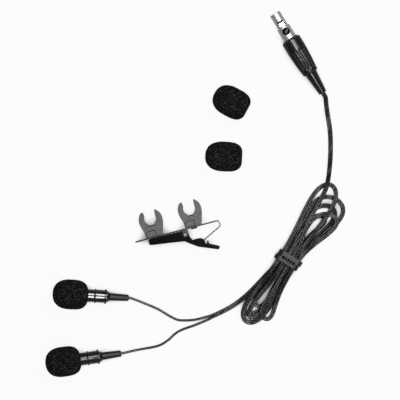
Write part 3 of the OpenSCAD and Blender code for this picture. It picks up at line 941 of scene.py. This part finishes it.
@dataclass
class Strap:
    """The slotted rubber strap round the hank's waist: two wraps side by side."""

    hank: Hank
    edge: float = 0.42
    seam: float = 0.03

    def wrap(self, solid: bpy.types.Mesh, side: int) -> bmesh.types.BMesh:
        """Returns one wrap, cut from the strap's solid and rounded, in millimetres."""
        bm = solid_copy(solid)
        along = Vector((math.cos(self.hank.yaw), math.sin(self.hank.yaw), 0)) * side
        cut = bmesh.ops.bisect_plane(
            bm,
            geom=[*bm.verts, *bm.edges, *bm.faces],
            plane_co=Vector((*self.hank.place, 0)) + along * self.seam,
            plane_no=along,
            clear_inner=True,
        )["geom_cut"]
        rim = [e for e in cut if isinstance(e, bmesh.types.BMEdge)]
        bmesh.ops.edgenet_fill(bm, edges=rim)
        bmesh.ops.recalc_face_normals(bm, faces=bm.faces)
        join_flats(bm)
        soften(bm, self.edge)
        return bm

    def build(self, frame: Frame, rubber: bpy.types.Material) -> bpy.types.Object:
        """Makes the strap.

        Args:
            frame: the loaded frame.
            rubber: its finish.

        Returns:
            The strap, one piece.
        """
        both = bmesh.new()
        for side in (1, -1):
            bm = self.wrap(frame["nodes"]["cable_tie"].data, side)
            half = bpy.data.meshes.new("strap_half")
            bm.to_mesh(half)
            bm.free()
            both.from_mesh(half)
            bpy.data.meshes.remove(half)
        both.transform(Matrix.Scale(MM, 4))
        return Fitting("rubber_strap", "kit", "tie", ("cable_tie",)).place(
            both, None, rubber
        )


# ------------------------------------------------------------------ windscreens


@dataclass
class Windscreen:
    """A foam windscreen with a blind bore, in millimetres."""

    lie: Lie
    body: str
    node: str
    length: float = 21.0
    diameter: float = 17.8
    bore_r: float = 3.85
    bore_len: float = 12.0
    rear_blunt: float = 3.2
    front_blunt: float = 2.4
    steps: int = 900
    grain: float = 0.26
    bore_skin: float = 0.15
    pore: float = 0.1
    lump_scale: float = 1.15
    grit_scale: float = 2.4
    pit_scale: float = 1.25
    pit_r: float = 0.35
    pit_depth: float = 1.6

    def outline(self) -> list[tuple[float, float]]:
        """Returns the foam's outer line from the mouth of the bore to the front."""
        line = []
        for i in range(self.steps + 1):
            t = math.pi * i / self.steps
            power = 2 / (self.rear_blunt if i < self.steps / 2 else self.front_blunt)
            x = math.copysign(abs(math.cos(t)) ** power, math.cos(t))
            line.append((self.length / 2 * x, self.diameter / 2 * math.sin(t) ** power))
        return self.evenly([p for p in line if p[1] > self.bore_r or p[0] < 0])

    def evenly(self, line: list[tuple[float, float]]) -> list[tuple[float, float]]:
        """Returns a line's points again, a grain apart."""
        kept = [line[0]]
        for p in line[1:-1]:
            if math.dist(p, kept[-1]) >= self.grain:
                kept.append(p)
        return [*kept, (line[-1][0], 0.0)]

    def build(self, foam: bpy.types.Material, seed: float) -> bpy.types.Object:
        """Makes the windscreen.

        Args:
            foam: its material.
            seed: shifts its pores, so that no two windscreens are alike.

        Returns:
            The windscreen, a piece of foam.
        """
        outer = self.outline()
        mouth = self.length / 2
        inner = [(mouth - self.bore_len, 0.0), (mouth - self.bore_len, self.bore_r)]
        inner.append((outer[0][0], self.bore_r))
        bm = turn_round([*inner, *outer[1:]], 196)
        bm.normal_update()
        shift = Vector((seed, seed * 2, seed * 3))
        for v in bm.verts:
            beside_bore = v.co.yz.length < self.bore_r + self.bore_skin
            if beside_bore and v.co.x > mouth - self.bore_len - 1:
                continue
            place = v.co + shift
            rise = noise.noise(place * self.lump_scale)
            rise += 0.7 * noise.noise(place * self.grit_scale)
            pit = noise.voronoi(place * self.pit_scale)[0][0]
            rise -= self.pit_depth * (self.pit_r - pit)
            v.co += v.normal * (self.pore * rise - self.pore / 2)
        name = self.node.replace("windscreen", "windscreen_foam")
        made = Fitting(name, self.body, "foam", (self.node,), 180).place(
            bm, self.lie, foam
        )
        return made


# ------------------------------------------------------------------ microphones


@dataclass
class Microphone:
    """One microphone's barrel and strain relief, in millimetres along its axis.

    X is 0 at the rear face of its windscreen and grows towards the cable. The lie's
    origin is the middle of that windscreen, reach ahead of the face.
    """

    lie: Lie
    side: Lead
    reach: float = 10.5
    barrel_r: float = 3.8
    bore_r: float = 3.2
    port_r: float = 2.5
    ring_r: float = 4.25
    flange_r: float = 4.4
    chamfer: float = 0.2
    line_x: float = 3.3
    line_depth: float = 0.16
    socket_r: float = 1.93
    front_x: float = -11.7
    ring_x: float = 4.0
    rear_x: float = 5.0
    flange_x: float = 10.3
    cone_x: float = 11.2
    relief_x: float = 13.2
    end_x: float = 24.8

    def front(self) -> Profile:
        """Returns the front shell's section."""
        return [
            (self.front_x, self.port_r), (self.front_x, self.barrel_r),
            (-2.0, self.barrel_r), (self.line_x, self.barrel_r),
            (self.line_x + 0.12, self.barrel_r - self.line_depth),
            (self.line_x + 0.4, self.barrel_r - self.line_depth),
            (self.line_x + 0.52, self.barrel_r),
            (self.ring_x, self.barrel_r), (self.ring_x, self.bore_r),
            (self.front_x + 0.8, self.bore_r), (self.front_x + 0.8, self.port_r),
        ]  # fmt: skip

    def ring(self) -> Profile:
        """Returns the section of the raised ring between the shells."""
        edge_r = self.ring_r - self.chamfer
        return [
            (self.ring_x, self.bore_r), (self.ring_x, edge_r),
            (self.ring_x + self.chamfer, self.ring_r),
            (self.rear_x - self.chamfer, self.ring_r),
            (self.rear_x, edge_r), (self.rear_x, self.bore_r),
            (self.rear_x + 1.6, self.bore_r - 0.03), (self.rear_x + 1.6, 2.6),
            (self.ring_x - 1.6, 2.6), (self.ring_x - 1.6, self.bore_r - 0.03),
        ]  # fmt: skip

    def rear(self) -> Profile:
        """Returns the rear shell's section, with its flange and cone."""
        edge_r = self.flange_r - self.chamfer
        return [
            (self.rear_x, self.bore_r), (self.rear_x, self.barrel_r),
            (self.flange_x - 0.5, self.barrel_r), (self.flange_x - 0.38, 3.66),
            (self.flange_x, 3.66), (self.flange_x, edge_r),
            (self.flange_x + self.chamfer, self.flange_r),
            (self.cone_x - self.chamfer, self.flange_r), (self.cone_x, edge_r),
            (self.cone_x, 3.5), (self.relief_x - 0.25, 2.75), (self.relief_x, 2.6),
            (self.relief_x, self.socket_r), (self.flange_x, self.socket_r),
            (self.flange_x, self.bore_r),
        ]  # fmt: skip

    def relief(self) -> Profile:
        """Returns the strain relief's section, with its rounded rim."""
        rim = rim_arc(self.end_x, 1.35, 0.55)
        return [
            (self.flange_x - 1.2, 0), (self.flange_x - 1.2, 2.5),
            (self.flange_x - 0.03, 2.5), (self.flange_x - 0.03, 1.9),
            (self.relief_x + 0.03, 1.9), (self.relief_x + 0.03, 2.2),
            (self.relief_x + 0.2, 2.3), (self.relief_x + 1.4, 2.3), *rim,
            (self.end_x, 0.72), (self.end_x - 0.4, 0.7), (self.end_x - 0.4, 0),
        ]  # fmt: skip

    def exit(self, beyond: float = 0.0) -> Vector:
        """Returns where the lead comes out, or a point that far beyond it."""
        return self.lie.point(self.reach + self.end_x + beyond)

    def windscreen(self) -> Windscreen:
        """Returns the windscreen that is on it."""
        key = self.side.key
        return Windscreen(self.lie, f"foam_{key}", f"windscreen_{key}")

    def build(self, dressed: Dressed) -> None:
        """Makes the turned pieces of the microphone."""
        key = self.side.key
        turned = (
            ("front_shell", self.front(), "barrel", 0.12),
            ("joint_ring", self.ring(), "barrel", 0.0),
            ("rear_shell", self.rear(), "barrel", 0.06),
            ("strain_relief", self.relief(), "strain_relief", 0.0),
        )
        for name, section, slot, edge in turned:
            bm = turn_round(section, 96)
            if edge:
                soften(bm, edge, 40)
            bmesh.ops.translate(bm, verts=bm.verts, vec=(self.reach, 0, 0))
            piece = Fitting(f"turned_{name}_{key}", "kit", slot, (f"{name}_{key}",))
            piece.place(bm, self.lie, dressed[slot])


# ------------------------------------------------------------------------- plug


@dataclass
class Plug:
    """The round plug with its fluted collar, in millimetres from its tip."""

    lie: Lie
    collar_x: float = 17.4
    bevel: float = 1.2
    band_end_x: float = 25.0
    end_x: float = 41.4
    collar_r: float = 5.9
    rear_r: float = 4.65
    shell_r: float = 4.08
    flutes: int = 16
    flute_depth: float = 0.34
    rear_wall: float = 2.6
    hole_r: float = 3.0
    fit: float = 0.03
    boot_end_x: float = 55.4
    button_x: float = 12.5
    button_r: float = 2.3
    button_low: float = 2.15
    button_top: float = 4.75

    def collar_line(self, x: float) -> float:
        """Returns the collar's radius at a place along it."""
        half = (self.end_x - self.band_end_x) / 2
        middle_r = blend(self.collar_r, self.rear_r, 0.35)
        way = (x - self.band_end_x) / half
        if way <= 1:
            return blend(self.collar_r, middle_r, max(0.0, way))
        return blend(middle_r, self.rear_r, way - 1)

    def collar(self) -> bmesh.types.BMesh:
        """Returns the collar: a plain front band, then flutes to a smooth rear rim."""
        start = self.collar_x + self.bevel
        fine = [start + (self.end_x - 0.4 - start) * i / 110 for i in range(111)]
        outer = [(x, self.collar_line(x)) for x in fine]
        inner = [
            (self.end_x, self.rear_r - 0.4), (self.end_x, self.hole_r + self.fit),
            (self.end_x - self.rear_wall, self.hole_r + self.fit),
            (self.end_x - self.rear_wall, self.shell_r),
            (self.collar_x, self.shell_r), (self.collar_x, self.shell_r + 0.42),
        ]  # fmt: skip
        bm = turn_round([*outer, *inner], self.flutes * 16)
        for v in bm.verts:
            radius = v.co.yz.length
            if radius < self.collar_line(v.co.x) - 0.05 or v.co.x > self.end_x - 1.6:
                continue
            along = ease((v.co.x - self.band_end_x - 0.2) / 1.1) * ease(
                (self.end_x - 2.0 - v.co.x) / 1.4
            )
            turn = math.atan2(v.co.z, v.co.y) * self.flutes
            groove = max(0.0, 0.5 + 0.72 * math.cos(turn + math.pi)) / 1.22
            v.co.yz = v.co.yz * (1 - self.flute_depth * along * groove / radius)
        return bm

    def boot(self) -> bmesh.types.BMesh:
        """Returns the flex boot: a taper with a rounded rim and a hollowed end."""
        inside = self.end_x - self.rear_wall - self.fit
        outside = self.end_x + self.fit
        rim = rim_arc(self.boot_end_x, 1.97, 0.5)
        return turn_round(
            [
                (self.end_x - 3.8, 0), (self.end_x - 3.8, 4.05), (inside, 4.05),
                (inside, self.hole_r), (outside, self.hole_r), (outside, 3.5),
                (self.end_x + 0.25, 3.68), *rim, (self.boot_end_x, 1.55),
                (self.boot_end_x - 0.5, 1.45), (self.boot_end_x - 0.5, 0),
            ],
            96,
        )  # fmt: skip

    def button(self) -> bmesh.types.BMesh:
        """Returns the latch button: a post with a domed head that stands along Z."""
        dome = [
            (self.button_top - 0.9 * (1 - math.cos(t)), self.button_r * math.sin(t))
            for t in (math.radians(a) for a in range(0, 80, 8))
        ]
        low = [(self.button_top - 1.0, self.button_r), (self.button_low, self.button_r)]
        bm = turn_round([*dome, *low, (self.button_low, 0)], 64)
        upright = Matrix.Rotation(-math.pi / 2, 3, "Y")
        bmesh.ops.rotate(bm, verts=bm.verts, cent=(0, 0, 0), matrix=upright)
        bmesh.ops.translate(bm, verts=bm.verts, vec=(self.button_x, 0, 0))
        return bm

    def build(self, frame: Frame, dressed: Dressed) -> list[bpy.types.Object]:
        """Makes the plug's pieces.

        Args:
            frame: the loaded frame.
            dressed: the finishes by slot.

        Returns:
            The pieces.
        """
        shaped = (
            ("fluted_collar", self.collar(), "kit", "collar", "plug_collar"),
            ("flex_boot", self.boot(), "kit", "boot", "plug_boot"),
            ("latch_button", self.button(), "button", "button", "plug_button"),
        )
        made = [
            Fitting(name, body, slot, (node,)).place(bm, self.lie, dressed[slot])
            for name, bm, body, slot, node in shaped
        ]
        copied = (
            ("plug_tube", "kit", "plug_shell", "plug_shell", 0.08),
            ("contact_carrier", "kit", "insert", "plug_insert", 0.05),
            ("contact_sleeves", "kit", "contacts", "plug_contacts", 0.0),
            ("latch_tongue", "button", "latch", "plug_latch", 0.08),
            ("cable_crimp", "kit", "clamp", "plug_cable_clamp", 0.1),
        )
        return made + [
            Fitting(name, body, slot, (node,)).from_solid(frame, dressed[slot], edge)
            for name, body, slot, node, edge in copied
        ]


# --------------------------------------------------------------------- tie clip


# A holder's foot boss, in parts of its width and its height
BOSS = (
    (-0.5, 0.03), (0.5, 0.03), (0.5, 0.78), (0.42, 0.95), (0.25, 1),
    (-0.2, 0.95), (-0.4, 0.86), (-0.5, 0.7),
)  # fmt: skip


@dataclass
class TieClip:
    """The spring clip and its two microphone holders, in millimetres.

    X runs along the bar from the jaw's pin, Y up to the holders and Z across.
    """

    lie: Lie
    holder_x: dict[Lead, float] = field(
        default_factory=lambda: {Lead.A: -18.2, Lead.B: 5.9}
    )
    foot_y: float = 0.5
    half: float = 2.5
    boss_x: float = -1.6
    boss_w: float = 5.5
    boss_h: float = 3.5
    boss_rise: float = 0.35
    boss_sink: float = 0.3
    # The black rim round each foot boss is painted shade: how wide it is and how far it
    # stands
    seam: float = 0.38
    seam_rise: float = 0.06
    leg_root: tuple[float, float] = (20.5, -4.0)
    leg_tip: tuple[float, float] = (10.5, -10.8)

    def build(self, frame: Frame, dressed: Dressed) -> None:
        """Makes the clip's pieces.

        Args:
            frame: the loaded frame.
            dressed: the finishes by slot.
        """
        copied = (
            ("spring_bar", "clip", "clip_steel", "clip_bar", 0.1),
            ("spring_leg", "clip", "clip_steel", "clip_spring", 0.14),
            ("hinge_pin", "clip", "clip_steel", "clip_pin", 0.15),
            ("toothed_jaw", "jaw", "jaw", "clip_jaw", 0.08),
            ("swivel_rivet_a", "clip", "rivet", "holder_rivet_a", 0.12),
            ("swivel_rivet_b", "clip", "rivet", "holder_rivet_b", 0.12),
            ("snap_holder_a", "holder_a", "holder", "mic_holder_a", 0.25),
            ("snap_holder_b", "holder_b", "holder", "mic_holder_b", 0.25),
        )
        root, tip = (
            tuple(self.lie.point(*p) * MM) for p in (self.leg_root, self.leg_tip)
        )
        bends = {"spring_leg": Bend("jaw", root, tip)}
        for name, body, slot, node, edge in copied:
            Fitting(name, body, slot, (node,), bend=bends.get(name)).from_solid(
                frame, dressed.get(name, dressed[slot]), edge
            )
        for side, x in self.holder_x.items():
            self.trim(side, x, dressed)

    def trim(self, side: Lead, x: float, dressed: Dressed) -> None:
        """Adds a holder's foot boss and a thin black rim around it, which is painted
        shade along the boss's edge.

        Args:
            side: which holder it is.
            x: where its rivet stands along the bar.
            dressed: the finishes by slot.
        """
        # The first layer is the black rim: painted shade round the boss
        layers = (
            ("foot_seam", "gasket", self.seam, self.seam_rise),
            ("foot_boss", "holder", 0.0, self.boss_rise),
        )
        for name, slot, spare, rise in layers:
            outline = [
                (
                    x + self.boss_x + (self.boss_w + 2 * spare) * u,
                    self.foot_y + (self.boss_h + spare) * v,
                )
                for u, v in BOSS
            ]
            bm = cut_from_sheet(outline, self.half - self.boss_sink, self.half + rise)
            if not spare:
                soften(bm, 0.1)
            piece = Fitting(f"{name}_{side.key}", f"holder_{side.key}", slot)
            piece.place(bm, self.lie, dressed[slot])


# ----------------------------------------------------------- stage and camera


@dataclass(frozen=True)
class Softbox:
    """One soft light that hangs over the table and faces straight down, in metres.

    Its place is measured from the middle of the table.
    """

    name: str
    x: float
    y: float
    wide: float
    deep: float
    radiance: float
    height: float = 0.9

    def hang(self, middle: tuple[float, float]) -> None:
        """Hangs the light over that middle."""
        data = bpy.data.lights.new(self.name, "AREA")
        data.shape = "RECTANGLE"
        data.size = self.wide
        data.size_y = self.deep
        data.energy = self.radiance * self.wide * self.deep * math.pi
        made = object_of(self.name, data)
        made.location = (middle[0] + self.x, middle[1] + self.y, self.height)
        made.visible_camera = False


@dataclass
class Studio:
    """A white table under soft boxes, seen from straight above."""

    middle: tuple[float, float] = (0.0312, 0.0183)
    height: float = 1.2
    width: float = 0.24
    zenith: float = 0.02
    walls: float = 0.12
    table_size: float = 1.5
    table_seen: float = 0.93
    table_mirrored: float = 0.35
    nook: float = 0.006
    boxes: tuple[Softbox, ...] = (
        Softbox("box_over_cable", 0.1, 0.01, 0.12, 0.38, 20),
        Softbox("strip_back", 0.365, 0.46, 0.13, 0.58, 12),
        Softbox("strip_front", 0.279, -0.47, 0.058, 0.56, 14),
        Softbox("fill_back", 0.235, 0.25, 0.08, 0.6, 3),
        Softbox("box_over_clip", -0.068, -0.055, 0.03, 0.05, 0.5),
    )

    def camera(self) -> None:
        """Hangs the camera over the middle of the table."""
        data = bpy.data.cameras.new("camera")
        data.sensor_width = 36
        data.lens = self.height * data.sensor_width / self.width
        made = object_of("camera", data)
        made.location = (*self.middle, self.height)
        bpy.context.scene.camera = made

    def table(self) -> None:
        """Lays the white table top, whose glow is darkened where little light gets in:
        painted shade.
        """
        bm = bmesh.new()
        bmesh.ops.create_grid(bm, x_segments=1, y_segments=1, size=self.table_size)
        mesh = bpy.data.meshes.new("table")
        bm.to_mesh(mesh)
        bm.free()
        made = object_of("table", mesh)
        paint = Paint("table_white")
        path = paint.node("ShaderNodeLightPath").outputs
        camera = Signal(paint, path["Is Camera Ray"])
        mirrored = Signal(paint, path["Is Glossy Ray"])
        # Ambient occlusion dims the glow close to the object: painted shade on the
        # table
        nook = paint.node("ShaderNodeAmbientOcclusion", None, {"Distance": self.nook})
        open_air = Signal(paint, nook.outputs["AO"]).clear_of(0.1, 0.75)
        cloth = paint.node("ShaderNodeBsdfDiffuse", None, {"Color": (0.8, 0.8, 0.8, 1)})
        level = open_air * (camera + mirrored * self.table_mirrored)
        glow = paint.node("ShaderNodeEmission", None, {"Strength": level})
        share = camera * self.table_seen + mirrored
        both = paint.node("ShaderNodeMixShader", None, {0: share})
        paint.tree.links.new(cloth.outputs[0], both.inputs[1])
        paint.tree.links.new(glow.outputs[0], both.inputs[2])
        paint.tree.links.new(both.outputs[0], paint.output.inputs["Surface"])
        mesh.materials.append(paint.material)

    def world(self) -> None:
        """Fills the room with even light that fades towards a dark ceiling."""
        world = bpy.data.worlds.new("studio")
        bpy.context.scene.world = world
        world.use_nodes = True
        tree = world.node_tree
        coords = tree.nodes.new("ShaderNodeTexCoord")
        split = tree.nodes.new("ShaderNodeSeparateXYZ")
        tree.links.new(coords.outputs["Generated"], split.inputs[0])
        fade = tree.nodes.new("ShaderNodeMapRange")
        fade.interpolation_type = "SMOOTHSTEP"
        levels = {
            "From Min": 0.75,
            "From Max": 0.96,
            "To Min": self.walls,
            "To Max": self.zenith,
        }
        for name, value in levels.items():
            fade.inputs[name].default_value = value
        tree.links.new(split.outputs["Z"], fade.inputs["Value"])
        glow = tree.nodes["Background"]
        glow.inputs["Color"].default_value = (1, 1, 1, 1)
        tree.links.new(fade.outputs["Result"], glow.inputs["Strength"])

    def build(self) -> None:
        """Sets the camera, the lights, the room and the table."""
        self.camera()
        self.world()
        self.table()
        for box in self.boxes:
            box.hang(self.middle)
        bpy.context.scene.view_settings.view_transform = "Standard"


# Each z and lean is how the piece rests on the table, as the solids do
MIC_LIES = {
    Lead.A: Lie(-46, -37.9, 9.519, -4.1, 12.5398),
    Lead.B: Lie(-50.3, -78, 9.519, 7.3, 12.5398),
}
PLUG_LIE = Lie(75.8, 129.5, 7.2236, -58.5, 3.054)
CLIP_LIE = Lie(21.8, 0.8, 5.5594, 14.7, -3)
SPARE_LIES = {Lead.A: Lie(49.7, 76.8, 8.9, -28), Lead.B: Lie(45.4, 44.2, 8.9, -3)}


def finishes() -> Dressed:
    """Returns every finish, by its slot or by the one piece that wears it."""
    return {
        "foam": WindscreenFoam().material(),
        "barrel": Lacquer().material(),
        "strain_relief": Rubber("relief_rubber", rough=0.42, gloss=0.6).material(),
        "grille": Metal("grille_steel", rough=0.3).material(),
        "capsule": Metal("capsule_can", (0.66, 0.66, 0.64), rough=0.35).material(),
        "gasket": Rubber("gasket_rubber", rough=0.7).material(),
        "tie": Rubber("strap_rubber", rough=0.45, gloss=0.5).material(),
        "plug_shell": Metal("nickel_plate", (0.9, 0.9, 0.9), rough=0.44).material(),
        "insert": Plastic("carrier_plastic", (0.02,) * 3, (0.035,) * 3).material(),
        "contacts": Metal("gold_plate", (0.9, 0.7, 0.36), (0.7, 0.5, 0.22)).material(),
        "latch": Metal("latch_steel", rough=0.2).material(),
        "button": Lacquer("button_plastic", rough=0.25, coat=0.2).material(),
        "collar": Lacquer(
            "collar_coating", rough=0.4, gloss=0.3, coat=0.4, coat_rough=0.17, wave=0.05
        ).material(),
        "clamp": Metal("crimp_steel", rough=0.3).material(),
        "boot": Lacquer("boot_rubber", coat=1.0, coat_rough=0.12, wave=0.05).material(),
        "clip_steel": Metal(
            "clip_chrome", (0.5,) * 3, (0.35,) * 3, rough=0.09, worn=0.03
        ).material(),
        # The bar and the pin are the clip's own steel painted far darker than the
        # chrome leg: painted shade for the dark surroundings that their steel mirrors
        "spring_bar": Metal(
            "bar_steel", (0.06,) * 3, (0.03,) * 3, rough=0.3
        ).material(),
        "hinge_pin": Metal("pin_steel", (0.3,) * 3, (0.15,) * 3, rough=0.3).material(),
        "jaw": Lacquer("jaw_enamel", rough=0.22, gloss=0.1, coat=0.0).material(),
        "rivet": Metal("rivet_steel", (0.04,) * 3, (0.02,) * 3, rough=0.4).material(),
        "holder": Plastic("holder_plastic").material(),
    }


def dress_hidden(frame: Frame, dressed: Dressed) -> None:
    """Gives the solids that stay as they are, inside the barrels, their finishes."""
    for slot in ("grille", "capsule", "gasket"):
        for side in Lead:
            solid = frame["nodes"][f"{slot}_{side.key}"]
            solid.data.materials.clear()
            solid.data.materials.append(dressed[slot])


def main() -> None:
    logging.basicConfig(level=logging.INFO, format="%(name)s: %(message)s")
    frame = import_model()
    log.info("frame has %d nodes", len(frame["nodes"]))
    Studio().build()
    cable = Cable()
    microphones = [Microphone(lie, side) for side, lie in MIC_LIES.items()]
    for mic in microphones:
        cable.lead(mic.side, mic.exit(), mic.exit(2 * cable.strand_r))
    plug = Plug(PLUG_LIE)
    path = cable.twin_line(PLUG_LIE.point(plug.boot_end_x), PLUG_LIE.way())
    twin = cable.twin(path)
    dressed = finishes()
    for mic in microphones:
        mic.build(dressed)
        mic.windscreen().build(dressed["foam"], mic.side.value * 7.0)
    for side, lie in SPARE_LIES.items():
        body, node = f"spare_{side.key}", f"spare_windscreen_{side.key}"
        spare = Windscreen(lie, body, node, length=22.2)
        spare.build(dressed["foam"], side.value * 19.0 + 40)
    dress_hidden(frame, dressed)
    strap = Strap(cable.hank).build(frame, dressed["tie"])
    cable.declare_twin(path[::-1], [strap, *plug.build(frame, dressed)])
    TieClip(CLIP_LIE).build(frame, dressed)


if __name__ == "__main__":
    main()
